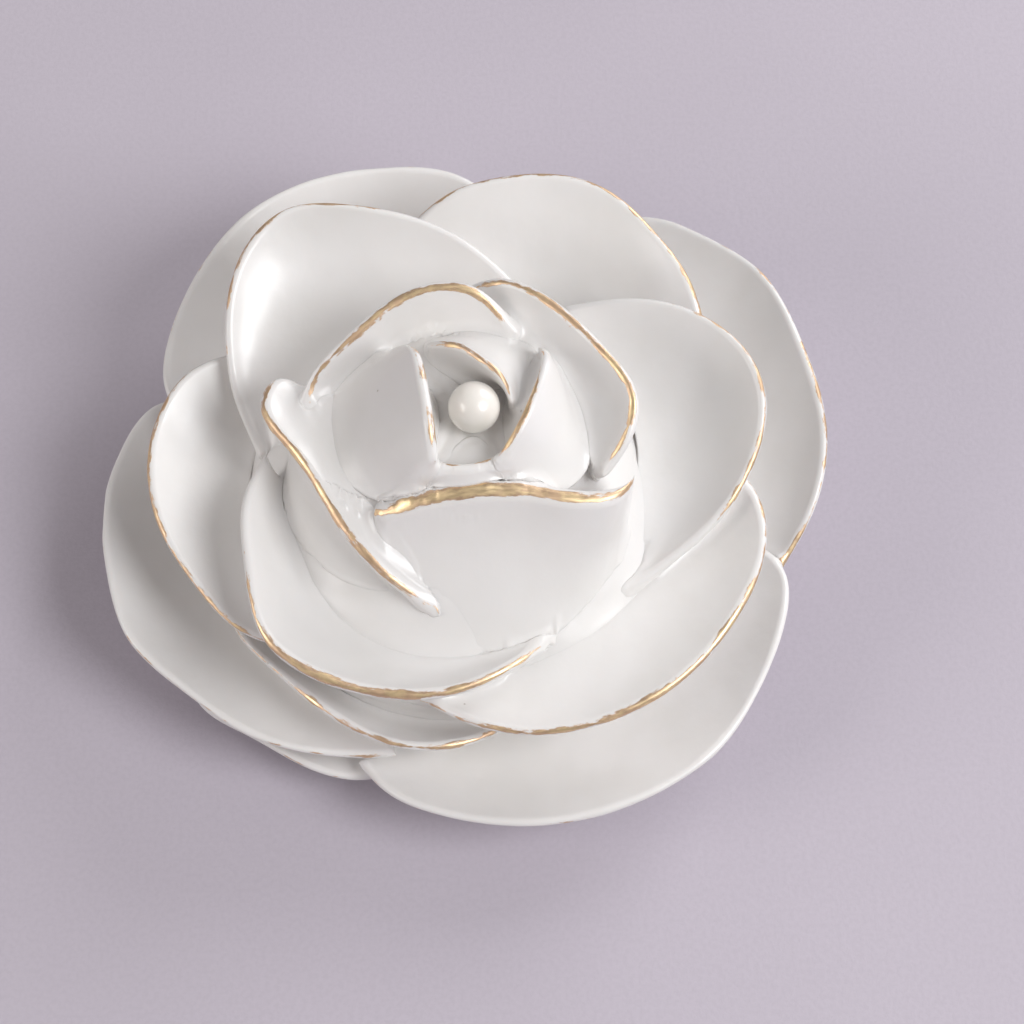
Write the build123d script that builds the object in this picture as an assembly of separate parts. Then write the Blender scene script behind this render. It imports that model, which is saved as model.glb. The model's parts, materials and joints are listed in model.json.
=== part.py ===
from build123d import *
import math
import os

# Porcelain rose trinket box: a footed bowl dressed with petals, and a lift-off
# domed lid dressed with more petals, a bud and one pearl.
# Millimetres, +Z up.  The origin is on the table, under the middle of the flower.

# ---------------------------------------------------------------- driving sizes
SEAM_HEIGHT = 17.0          # top of the bowl's rim
SEAT_GAP = 0.2              # glaze clearance under the closed lid
BOWL_RADIUS = 34.0          # outside of the bowl and of the lid at the seam
MOUTH_RADIUS = 31.0         # inside of the bowl's mouth
CAVITY_FLOOR = 4.2          # height of the bowl's inside floor
FOOT_RADIUS = 26.5          # outside of the foot ring
FOOT_WIDTH = 3.0
FOOT_DEPTH = 1.4            # how far the underside is recessed inside the foot ring
FLANGE_CLEARANCE = 0.5      # lid's locating flange to the bowl's mouth
FLANGE_WALL = 2.6
FLANGE_DEPTH = 3.2          # how far the flange reaches below the seam
DOME_TOP = 40.2             # flat on top of the dome, where the pearl sits
DOME_WALL = 3.6
PEARL_RADIUS = 3.5
PEARL_CENTRE = (1.3, -1.8, 43.5)
PEG_RADIUS = 0.5
PEG_LENGTH = 5.0
PEG_CLEARANCE = 0.05        # glue gap round the peg

# Petal shape: each petal is lofted through upright sections that fan out along its rim.
SECTIONS = 9                # sections from one end of a petal to the other
HANDLE = 0.38               # length of a section's curve handles, as a share of its chord
HEEL_FULLNESS = 0.7         # how soon a heel reaches its full depth from a petal's ends; less is sooner


# ---------------------------------------------------------------- petals of the lid
# rim and root: (bearing in degrees, distance from the axis, height) along the petal
# rise, lift: slope of the upper face where it leaves the root and where it meets the rim
# thick: thickness at the root and at the rim
# heel: (distance from the axis, height) where the underside of a spreading petal meets the
# body below its root, which replaces the thickness at the root
# inside: (distance from the axis, height) where the inner wall of a petal that leans in stands
LID_PETALS = {
    "bud_petal_front": dict(
        rim=[(240, 10.5, 40), (256, 10.4, 41.5), (274, 10.4, 42), (291, 10.3, 42), (305, 11, 40)],
        root=[(240, 13, 35), (273, 12.5, 35), (305, 13.5, 35)],
        rise=60, lift=75, thick=(3, 2), inside=(5, 39.8)),
    "bud_petal_left": dict(
        rim=[(138, 10.7, 43.5), (144, 8.3, 46.5), (190, 5.5, 48), (236, 8, 47.5), (250, 11.5, 44.5)],
        root=[(138, 14.5, 36), (170, 18.5, 33), (200, 18.5, 33), (236, 15.5, 34.5)],
        rise=42, lift=48, thick=(3.5, 1.6), inside=(4, 39.6)),
    "bud_petal_right": dict(
        rim=[(37, 12.8, 42), (22, 11.7, 45.5), (354, 9.7, 46.5), (325, 9.5, 46), (295, 11, 43)],
        root=[(34, 13.5, 37.5), (5, 15, 35), (338, 17.5, 34), (305, 15.5, 35)],
        rise=42, lift=58, thick=(3.5, 1.4), inside=(5.5, 39.4)),
    "bud_petal_back": dict(
        rim=[(124, 9, 43.5), (96, 5.5, 46.5), (57, 4, 47), (11, 5, 46.5), (348, 6.5, 44)],
        root=[(118, 11, 38), (80, 11, 38), (42, 12.5, 38)],
        rise=50, lift=62, thick=(3, 1.3), inside=(3.5, 39.5)),
    "inner_petal_back_left": dict(
        rim=[(179, 20, 34), (172, 21.4, 36), (151, 18.5, 41), (122, 16.7, 44), (102, 16, 45),
             (85, 15.1, 44.5), (58, 12.5, 40.5)],
        root=[(172, 18, 32), (148, 14.5, 33.5), (115, 12, 35), (72, 10, 36.5)],
        rise=25, lift=62, thick=(5, 1.5)),
    "inner_petal_right": dict(
        rim=[(92, 17.5, 39), (75, 17.9, 43), (50, 17.7, 44), (21, 19.3, 43.5), (0, 22.4, 41.5),
             (348, 21.8, 39.5), (335, 20.0, 36.5)],
        root=[(85, 12.5, 36.5), (45, 12.5, 36.5), (15, 14.5, 35), (342, 17.5, 33.5)],
        rise=25, lift=60, thick=(5, 1.6)),
    "inner_petal_left": dict(
        rim=[(163, 24.5, 33.5), (166, 25.8, 35.3), (173, 26.8, 36), (192, 22.9, 36), (222, 21.5, 34),
             (244, 22.7, 31), (261, 23.6, 26.5)],
        root=[(165, 16.5, 34), (195, 14.5, 34.5), (225, 15, 34), (255, 18.5, 28.5)],
        rise=5, lift=25, thick=(3, 2.2), heel=(25, 25.5)),
    "inner_petal_front": dict(
        rim=[(230, 18, 35), (242, 15.2, 37.5), (273, 12.6, 39.3), (304, 15.1, 39.3), (321, 20.9, 38.5),
             (331, 24.0, 37.5), (338, 24.3, 36)],
        root=[(245, 25, 23), (285, 28, 21), (325, 26, 24)],
        rise=45, lift=68, thick=(4, 3)),
    "lid_petal_back_left": dict(
        rim=[(178, 28, 23.5), (166, 32.5, 28), (155, 36.1, 33), (141, 39.5, 37), (128, 39.3, 39.5),
             (117, 34.9, 40), (100, 29.3, 39), (86, 25.2, 37.5), (73, 22, 36)],
        root=[(172, 23, 27), (125, 19.5, 30), (78, 18, 32)],
        rise=2, lift=48, thick=(3, 1.3), heel=(32.5, 19)),
    "lid_petal_back": dict(
        rim=[(106, 33, 31), (94, 36.1, 35), (83, 38, 36.5), (73, 39.7, 37), (62, 40.5, 37),
             (50, 39.5, 35.5), (36, 38.2, 33), (28, 37, 30)],
        root=[(100, 25, 24), (65, 25, 24), (32, 25, 25)],
        rise=0, lift=42, thick=(3, 1.3), heel=(32.5, 19)),
    "lid_petal_right": dict(
        rim=[(54, 23, 33.5), (38, 30.1, 36), (26, 35.7, 36.5), (15, 39.4, 36), (6, 40.4, 34.5),
             (356, 39.1, 31.5), (344, 35.9, 28), (329, 30.9, 24), (311, 27.5, 21)],
        root=[(45, 20, 30), (5, 21.5, 27), (325, 24, 23)],
        rise=-20, lift=48, thick=(3, 1.3), heel=(32.5, 19)),
    "lid_petal_front_left": dict(
        rim=[(184, 27, 29), (198, 31, 30), (211, 33.8, 29), (227, 38.2, 27.5), (240, 37.9, 26),
             (252, 36.5, 25), (265, 34.9, 25), (278, 32.2, 25), (295, 28.0, 22.5)],
        root=[(192, 25, 25), (240, 27.5, 20.5), (285, 26.5, 21)],
        rise=5, lift=50, thick=(3, 1.6), heel=(32, 18.8)),
    "lid_petal_left": dict(
        rim=[(154, 34, 28), (164, 39.8, 28.5), (174, 42.5, 27), (182, 43.2, 26), (195, 42.4, 24.5),
             (207, 40.5, 23), (220, 38.2, 21.5), (230, 34, 20.5)],
        root=[(158, 28, 21), (190, 30, 20), (222, 30, 20)],
        rise=10, lift=35, thick=(3, 1.3), heel=(32.5, 18.6)),
    "lid_petal_front_right": dict(
        rim=[(258, 33, 19.5), (273, 37.7, 21.5), (285, 40.6, 22.5), (297, 42.4, 24), (311, 43.5, 25.5),
             (327, 43.3, 26.5), (339, 42.7, 27), (348, 40.7, 26.5), (357, 37, 25.5)],
        root=[(268, 29, 19.5), (308, 29, 19.5), (348, 28.5, 20.5)],
        rise=5, lift=35, thick=(3, 1.5), heel=(32, 18)),
}

# ---------------------------------------------------------------- petals of the bowl
BASE_PETALS = {
    "base_petal_front_left_inner": dict(
        rim=[(205, 36, 14.5), (215, 38, 16), (227, 38, 16.5), (242, 38.9, 17), (255, 39.9, 17),
             (264, 39.5, 17), (273, 37.6, 16), (280, 35, 14.5)],
        root=[(215, 31.5, 10), (242, 32, 9.5), (270, 31.5, 10)],
        rise=5, lift=45, thick=(3, 1.3), heel=(30, 5)),
    "base_petal_right": dict(
        rim=[(68, 45, 15), (60, 49.4, 18), (49, 51.2, 20), (37, 52.6, 21), (23, 51.4, 20.5),
             (8, 50.7, 18.5), (357, 48.5, 15.5), (347, 44.9, 11)],
        root=[(62, 31.5, 10), (28, 31.5, 9), (352, 31, 8)],
        rise=5, lift=45, thick=(3, 1.3), heel=(27.5, 2.2)),
    "base_petal_back_left": dict(
        rim=[(165, 41, 14), (160, 45.5, 16), (152, 48.2, 18), (140, 50.3, 20.5), (126, 51.9, 22.5),
             (113, 51, 23), (102, 49.6, 22.5), (93, 48.2, 21.5), (85, 45.5, 19)],
        root=[(158, 31.5, 10), (125, 31.5, 9), (92, 31.5, 10)],
        rise=5, lift=45, thick=(3, 1.3), heel=(27.5, 2.2)),
    "base_petal_back": dict(
        rim=[(102, 40, 14), (92, 44, 17), (80, 46, 18.5), (68, 45, 17.5), (58, 41, 15)],
        root=[(98, 31, 8.5), (80, 31, 8), (62, 31, 8.5)],
        rise=5, lift=40, thick=(3, 1.3), heel=(28, 3.5)),
    "base_petal_front": dict(
        rim=[(350, 41, 12), (345, 45.5, 13), (338, 47.4, 14), (326, 49.2, 14.5), (311, 51.2, 14),
             (298, 50.9, 13), (282, 49.3, 12), (267, 46.7, 11), (257, 44.3, 10), (249, 40.5, 8)],
        root=[(342, 30.5, 7), (298, 30, 5.5), (255, 30, 5.5)],
        rise=5, lift=30, thick=(3, 1.3), heel=(26.5, 1.5)),
    "base_petal_under_left": dict(
        rim=[(208, 44, 5), (217, 46.5, 6), (229, 44.5, 6), (240, 43.5, 6), (250, 42, 6), (258, 38, 5)],
        root=[(212, 28, 3.5), (233, 28, 3.2), (255, 28, 3.5)],
        rise=0, lift=20, thick=(3, 1.3), heel=(26, 1)),
    "base_petal_left": dict(
        rim=[(158, 41, 12), (161, 45.7, 13), (172, 49.2, 14.5), (184, 50.8, 15), (196, 51.2, 15),
             (205, 51.3, 14), (216, 48.5, 12.5), (230, 45.8, 11.5), (242, 42.7, 11), (256, 39, 10.8)],
        root=[(165, 30.5, 7), (205, 30.5, 6.5), (246, 30.5, 7.5)],
        rise=5, lift=30, thick=(3, 1.3), heel=(27, 1.8)),
}


def at_bearing(bearing, radius, height):
    """Point at a compass bearing about the axis (0 is +X, 90 is +Y)."""
    turn = math.radians(bearing)
    return Vector(radius * math.cos(turn), radius * math.sin(turn), height)


def smooth_line(points):
    """Smooth curve through (bearing, radius, height) points."""
    return Edge.make_spline([at_bearing(*p) for p in points])


def petal_section(root, rim, rise, lift, root_thick, rim_thick, heel, inside):
    """Closed outline of the petal where an upright plane through root and rim cuts it."""
    out = Vector(rim.X - root.X, rim.Y - root.Y, 0).normalized()
    up = Vector(0, 0, 1)
    reach = HANDLE * (rim - root).length

    def along(angle):
        return out * math.cos(math.radians(angle)) + up * math.sin(math.radians(angle))

    def across(angle):
        return out * -math.sin(math.radians(angle)) + up * math.cos(math.radians(angle))

    root_handle = root + along(rise) * reach
    rim_handle = rim - along(lift) * reach
    root_half = across(rise) * (root_thick / 2)
    rim_half = across(lift) * (rim_thick / 2)
    nose = rim + along(lift) * (rim_thick / 2)
    foot = root - root_half
    foot_handle = root_handle - root_half
    if heel:
        heel_radius, heel_height, depth = heel
        full = root + out * (heel_radius - math.hypot(root.X, root.Y)) + up * (heel_height - root.Z)
        foot = foot + (full - foot) * depth
        foot_handle = foot + along(rise) * (HANDLE * (rim - foot).length)
    under_handle = rim_handle
    if inside:
        inside_radius, inside_height, depth = inside
        full = root + out * (math.hypot(root.X, root.Y) - inside_radius) + up * (inside_height - root.Z)
        foot = foot + (full - foot) * depth
        fall = up * (HANDLE * (rim - foot).length)
        foot_handle = foot + fall
        under_handle = rim - fall
    upper = Edge.make_bezier(root + root_half, root_handle + root_half, rim_handle + rim_half, rim + rim_half)
    edge = Edge.make_three_point_arc(rim + rim_half, nose, rim - rim_half)
    under = Edge.make_bezier(rim - rim_half, under_handle - rim_half, foot_handle, foot)
    base = Edge.make_line(foot, root + root_half)
    return Wire([upper, edge, under, base])


def petal_solid(shape):
    """One petal, lofted from end to end of its rim."""
    rim = smooth_line(shape["rim"])
    root = smooth_line(shape["root"])
    root_thick, rim_thick = shape["thick"]
    sections = []
    for step in range(SECTIONS):
        share = step / (SECTIONS - 1)
        depth = max(0.0, math.sin(math.pi * share)) ** HEEL_FULLNESS
        heel = (*shape["heel"], depth) if "heel" in shape else None
        inside = (*shape["inside"], depth) if "inside" in shape else None
        sections.append(petal_section(
            root.position_at(share), rim.position_at(share),
            shape["rise"], shape["lift"], root_thick, rim_thick, heel, inside))
    return Solid.make_loft(sections)


def trimmed(petal, neighbours):
    """The petal cut back to its neighbours; scraps left inside them are dropped."""
    box = petal.bounding_box()
    for other in neighbours:
        if box.overlaps(other.bounding_box()):
            petal = max((petal - other).solids(), key=lambda solid: solid.volume)
    return petal


def revolved(*outline):
    """Solid of revolution about Z from a closed chain of curves in the XZ plane."""
    return revolve(Plane.XZ * make_face(Curve() + list(outline)), Axis.Z, 360).solids()[0]


def base_bowl():
    """Footed bowl, round inside, with a flat rim."""
    foot_inside = FOOT_RADIUS - FOOT_WIDTH
    outside = Spline((FOOT_RADIUS, 0), (29.5, 4), (32.5, 9), (BOWL_RADIUS, SEAM_HEIGHT))
    rim = Line((BOWL_RADIUS, SEAM_HEIGHT), (MOUTH_RADIUS, SEAM_HEIGHT))
    inside = Spline((MOUTH_RADIUS, SEAM_HEIGHT), (29.8, 10), (25.5, 5.8), (18, CAVITY_FLOOR),
                    tangents=[(0, -1), (-1, 0)])
    underside = Polyline((18, CAVITY_FLOOR), (0, CAVITY_FLOOR), (0, FOOT_DEPTH),
                         (foot_inside - 1, FOOT_DEPTH), (foot_inside, 0), (FOOT_RADIUS, 0))
    return revolved(outside, rim, inside, underside)


def bowl_block():
    """The bowl's outside shape, filled, for cutting petals back to its wall."""
    outside = Spline((FOOT_RADIUS, 0), (29.5, 4), (32.5, 9), (BOWL_RADIUS, SEAM_HEIGHT))
    core = Polyline((BOWL_RADIUS, SEAM_HEIGHT), (0, SEAM_HEIGHT), (0, 0), (FOOT_RADIUS, 0))
    return revolved(outside, core)


def dome_outside():
    """Profile of the lid's dome, from the seam up to the flat under the pearl."""
    return Spline((BOWL_RADIUS, SEAM_HEIGHT + SEAT_GAP), (26, 25), (18.5, 32), (12.5, 38.3), (6, DOME_TOP),
                  tangents=[(-0.6, 1), (-1, 0)])


def dome_block():
    """The dome's outside shape, filled, for cutting petals back to it."""
    seat = SEAM_HEIGHT + SEAT_GAP
    core = Polyline((6, DOME_TOP), (0, DOME_TOP), (0, seat), (BOWL_RADIUS, seat))
    return revolved(dome_outside(), core)


def lid_dome():
    """Hollow dome with the ring that locates it in the bowl's mouth."""
    seat = SEAM_HEIGHT + SEAT_GAP
    flange_outside = MOUTH_RADIUS - FLANGE_CLEARANCE
    flange_inside = flange_outside - FLANGE_WALL
    flange_foot = SEAM_HEIGHT - FLANGE_DEPTH
    hollow_top = DOME_TOP - DOME_WALL
    top = Polyline((6, DOME_TOP), (0, DOME_TOP), (0, hollow_top), (4, hollow_top))
    hollow = Spline((4, hollow_top), (11.5, 32.5), (21, 23), (flange_inside, seat - 1),
                    tangents=[(1, 0), (0, -1)])
    flange = Polyline((flange_inside, seat - 1), (flange_inside, flange_foot),
                      (flange_outside, flange_foot), (flange_outside, seat), (BOWL_RADIUS, seat))
    return revolved(dome_outside(), top, hollow, flange)


def pearl_peg(radius, length):
    """Straight pin that stands under the pearl's centre."""
    x, y, z = PEARL_CENTRE
    return Pos(x, y, z) * Cylinder(radius, length, align=(Align.CENTER, Align.CENTER, Align.MAX))


def pearl(radius):
    """Round bead at the heart of the flower."""
    return Pos(*PEARL_CENTRE) * Sphere(radius)


def lid_parts():
    """Every piece that lifts off with the lid, by name."""
    peg_hole = pearl_peg(PEG_RADIUS + PEG_CLEARANCE, PEG_LENGTH + PEG_CLEARANCE)
    bead = pearl(PEARL_RADIUS)
    parts = {"lid_dome": lid_dome() - bead - peg_hole}
    blocks = [dome_block(), bead]
    for name, shape in LID_PETALS.items():
        parts[name] = trimmed(petal_solid(shape), blocks)
        blocks.append(parts[name])
    parts["pearl"] = bead - peg_hole
    parts["pearl_peg"] = pearl_peg(PEG_RADIUS, PEG_LENGTH)
    return parts


def base_parts():
    """Every piece that stays on the table, by name."""
    parts = {"base_bowl": base_bowl()}
    blocks = [bowl_block()]
    for name, shape in BASE_PETALS.items():
        parts[name] = trimmed(petal_solid(shape), blocks)
        blocks.append(parts[name])
    return parts


os.makedirs("parts", exist_ok=True)
for node, solid in {**base_parts(), **lid_parts()}.items():
    export_step(solid, f"parts/{node}.step")
    print(f"{node}: {solid.volume:.0f} mm3")
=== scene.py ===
import json
import math

import bmesh
import bpy
from bpy.props import FloatProperty, FloatVectorProperty, PointerProperty
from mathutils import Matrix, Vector, noise
from mathutils.bvhtree import BVHTree

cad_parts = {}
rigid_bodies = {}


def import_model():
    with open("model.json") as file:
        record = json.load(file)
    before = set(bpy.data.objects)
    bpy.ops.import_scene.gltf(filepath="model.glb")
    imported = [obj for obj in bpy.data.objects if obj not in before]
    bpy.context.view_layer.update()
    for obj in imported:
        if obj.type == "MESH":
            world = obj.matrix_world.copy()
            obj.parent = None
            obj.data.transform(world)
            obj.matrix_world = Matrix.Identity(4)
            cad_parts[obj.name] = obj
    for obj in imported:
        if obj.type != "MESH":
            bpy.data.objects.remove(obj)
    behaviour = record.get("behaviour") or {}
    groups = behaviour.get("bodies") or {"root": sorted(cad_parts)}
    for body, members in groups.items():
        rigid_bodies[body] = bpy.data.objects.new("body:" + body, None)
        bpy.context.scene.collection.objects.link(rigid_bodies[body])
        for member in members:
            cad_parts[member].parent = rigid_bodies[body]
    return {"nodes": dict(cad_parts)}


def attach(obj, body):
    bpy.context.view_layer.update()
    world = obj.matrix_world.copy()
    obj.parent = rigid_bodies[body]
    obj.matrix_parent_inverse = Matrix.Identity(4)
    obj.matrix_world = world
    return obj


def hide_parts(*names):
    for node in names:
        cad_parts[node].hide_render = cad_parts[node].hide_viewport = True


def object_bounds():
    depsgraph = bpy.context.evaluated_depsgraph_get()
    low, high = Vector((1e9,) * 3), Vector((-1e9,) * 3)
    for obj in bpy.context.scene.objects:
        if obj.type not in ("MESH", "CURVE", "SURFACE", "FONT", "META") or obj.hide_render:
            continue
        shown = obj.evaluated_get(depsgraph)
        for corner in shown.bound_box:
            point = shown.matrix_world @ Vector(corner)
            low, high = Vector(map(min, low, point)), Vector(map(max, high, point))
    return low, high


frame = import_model()
CAD_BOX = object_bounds()

bl_info = {
    "name": "Porcelain Rose Box",
    "version": (1, 0, 0),
    "blender": (4, 5, 0),
    "location": "View3D > Sidebar > Rose Box",
    "description": "Glazed and gilded rose trinket box around its packed frame",
    "category": "Object",
}

MM = 0.001

# ------------------------------------------------------------------ petals, millimetres
# sizes are in millimetres unless a name or comment says otherwise
# rim and root: (bearing in degrees, distance from the axis, height) along the petal
# rise, lift: slope of the upper face where it leaves the root and where it meets the rim
# thick: thickness at the root and at the rim
# heel: (distance from the axis, height) where the underside of a spreading petal meets the
# body below its root
# inside: (distance from the axis, height) where the inner wall of a petal that leans in stands
# gilt: (share of the rim's length, half width of the gilding) along the rim; shift moves the
# gilding on to the upper face, and split parts it into two lines
BUD_PETALS = {
    "bud_petal_front": dict(
        rim=[(240, 10.5, 40), (256, 10.4, 41.5), (274, 10.4, 42), (291, 10.3, 42), (305, 11, 40)],
        root=[(240, 13.6, 35), (273, 12.4, 36.2), (305, 13.6, 35.5)],
        rise=25, lift=60, thick=(3, 2), inside=(5, 39.8),
        gilt=[(0, -0.4), (0.3, 0.35), (0.5, 0.05), (0.7, 0.5), (1, -0.4)], shift=0.0),
    "bud_petal_left": dict(
        rim=[(138, 10.7, 43.5), (144, 8.3, 46.5), (190, 5.5, 48), (236, 8, 47.5), (250, 11.5, 44.5)],
        root=[(138, 14.5, 36), (170, 18.5, 33), (200, 18.5, 33), (236, 15.5, 34.5)],
        rise=42, lift=48, thick=(3.5, 1.6), inside=(4, 39.6),
        gilt=[(0, 0.2), (0.15, 0.45), (0.85, 0.45), (1, 0.3)], shift=-0.25, split=0.6),
    "bud_petal_right": dict(
        rim=[(37, 12.8, 42), (22, 11.7, 45.5), (354, 9.7, 46.5), (325, 9.5, 46), (295, 11, 43)],
        root=[(34, 13.5, 37.5), (5, 15, 35), (338, 17.5, 34), (305, 15.5, 35)],
        rise=42, lift=58, thick=(3.5, 1.4), inside=(5.5, 39.4),
        gilt=[(0, 0.1), (0.15, 0.45), (0.3, 0.4), (0.6, 0.75), (0.9, 0.85), (1, 0.3)], shift=-0.25),
    "bud_petal_back": dict(
        rim=[(124, 9, 43.5), (96, 5.5, 46.5), (57, 4, 47), (11, 5, 46.5), (348, 6.5, 44)],
        root=[(118, 11, 38), (80, 11, 38), (42, 12.5, 38)],
        rise=50, lift=62, thick=(3, 1.3), inside=(3.5, 39.5),
        gilt=[(0, 0.1), (0.15, 0.5), (0.5, 0.65), (0.9, 0.55), (1, 0.2)], shift=0.2),
}
INNER_PETALS = {
    "inner_petal_back_left": dict(
        rim=[(179, 20, 34), (172, 21.4, 36), (151, 18.5, 41), (122, 16.7, 44), (102, 16, 45),
             (85, 15.1, 44.5), (58, 12.5, 40.5)],
        root=[(172, 18, 32), (148, 14.5, 33.5), (115, 12, 35), (72, 10, 36.5)],
        rise=25, lift=62, thick=(5, 1.5),
        gilt=[(0, -0.3), (0.1, 0.4), (0.4, 0.75), (0.7, 0.85), (0.93, 0.5), (1, -0.2)], shift=0.75),
    "inner_petal_right": dict(
        rim=[(92, 17.5, 39), (75, 17.9, 43), (50, 17.7, 44), (21, 19.3, 43.5), (0, 22.4, 41.5),
             (348, 21.8, 39.5), (335, 20.0, 36.5)],
        root=[(85, 12.5, 36.5), (45, 12.5, 36.5), (15, 14.5, 35), (342, 17.5, 33.5)],
        rise=25, lift=60, thick=(5, 1.6),
        gilt=[(0, -0.2), (0.1, 0.4), (0.4, 0.7), (0.8, 0.75), (0.93, 0.5), (1, -0.3)], shift=0.6),
    "inner_petal_left": dict(
        rim=[(163, 24.5, 33.5), (166, 25.8, 35.3), (173, 26.8, 36), (192, 22.9, 36), (222, 21.5, 34),
             (244, 22.7, 31), (261, 23.6, 26.5)],
        root=[(165, 16.5, 34), (195, 14.5, 34.5), (225, 15, 34), (255, 18.5, 28.5)],
        rise=5, lift=25, thick=(3, 2.2), heel=(25, 25.5),
        gilt=[(0, -0.2), (0.08, 0.5), (0.25, 0.95), (0.5, 0.9), (0.9, 0.8), (1, 0.2)], shift=0.5),
    "inner_petal_front": dict(
        rim=[(230, 18, 35), (242, 15.2, 37.5), (273, 12.6, 39.3), (304, 15.1, 39.3), (321, 20.9, 38.5),
             (331, 24.0, 37.5), (338, 24.3, 36)],
        root=[(245, 25, 23), (285, 28, 21), (325, 26, 24)],
        rise=45, lift=68, thick=(4, 3),
        gilt=[(0, 0.8), (0.15, 1.25), (0.6, 1.05), (0.95, 1.0), (1, 0.5)], shift=0.8),
}
LID_PETALS = {
    "lid_petal_back_left": dict(
        rim=[(178, 28, 23.5), (166, 32.5, 28), (155, 36.1, 33), (141, 39.5, 37), (128, 39.3, 39.5),
             (117, 34.9, 40), (100, 29.3, 39), (86, 25.2, 37.5), (73, 22, 36)],
        root=[(172, 23, 27), (125, 19.5, 30), (78, 18, 32)],
        rise=2, lift=48, thick=(3, 1.3), heel=(32.5, 19),
        gilt=[(0, -0.3), (0.2, 0.25), (0.4, 0.55), (0.6, 0.5), (0.75, 0.2), (1, -0.5)], shift=0.1),
    "lid_petal_back": dict(
        rim=[(106, 33, 31), (94, 36.1, 35), (83, 38, 36.5), (73, 39.7, 37), (62, 40.5, 37),
             (50, 39.5, 35.5), (36, 38.2, 33), (28, 37, 30)],
        root=[(100, 25, 24), (65, 25, 24), (32, 25, 25)],
        rise=0, lift=42, thick=(3, 1.3), heel=(32.5, 19),
        gilt=[(0, 0.2), (0.3, 0.45), (0.6, 0.6), (1, 0.55)], shift=0.1),
    "lid_petal_right": dict(
        rim=[(54, 23, 33.5), (38, 30.1, 36), (26, 35.7, 36.5), (15, 39.4, 36), (6, 40.4, 34.5),
             (356, 39.1, 31.5), (344, 35.9, 28), (329, 30.9, 24), (311, 27.5, 21)],
        root=[(45, 20, 30), (5, 21.5, 27), (325, 24, 23)],
        rise=-20, lift=48, thick=(3, 1.3), heel=(32.5, 19),
        gilt=[(0, -0.4), (0.15, 0.15), (0.35, 0.5), (0.6, 0.6), (0.7, 0.35), (0.8, -0.3), (1, -0.5)],
        shift=0.1),
    "lid_petal_front_left": dict(
        rim=[(184, 27, 29), (198, 31, 30), (211, 33.8, 29), (227, 38.2, 27.5), (240, 37.9, 26),
             (252, 36.5, 25), (265, 34.9, 25), (278, 32.2, 25), (295, 28.0, 22.5)],
        root=[(192, 25, 25), (240, 27.5, 20.5), (285, 26.5, 21)],
        rise=5, lift=50, thick=(3, 1.6), heel=(32, 18.8),
        gilt=[(0, -0.4), (0.15, -0.1), (0.28, 0.4), (0.55, 0.9), (0.85, 0.85), (0.95, 0.4), (1, -0.3)],
        shift=0.1),
    "lid_petal_left": dict(
        rim=[(154, 34, 28), (164, 39.8, 28.5), (174, 42.5, 27), (182, 43.2, 26), (195, 42.4, 24.5),
             (207, 40.5, 23), (220, 38.2, 21.5), (230, 34, 20.5)],
        root=[(158, 28, 21), (190, 30, 20), (222, 30, 20)],
        rise=10, lift=35, thick=(3, 1.3), heel=(32.5, 18.6),
        gilt=[(0, 0.1), (0.3, 0.5), (0.5, 0.65), (0.8, 0.5), (1, 0.35)], shift=0.1),
    "lid_petal_front_right": dict(
        rim=[(258, 33, 19.5), (273, 37.7, 21.5), (285, 40.6, 22.5), (297, 42.4, 24), (311, 43.5, 25.5),
             (327, 43.3, 26.5), (339, 42.7, 27), (348, 40.7, 26.5), (357, 37, 25.5)],
        root=[(268, 29, 19.5), (308, 29, 19.5), (348, 28.5, 20.5)],
        rise=5, lift=35, thick=(3, 1.5), heel=(32, 18),
        gilt=[(0, 0.3), (0.2, 0.6), (0.45, 0.8), (0.7, 0.75), (0.9, 0.5), (1, 0.35)], shift=0.1),
}
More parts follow.
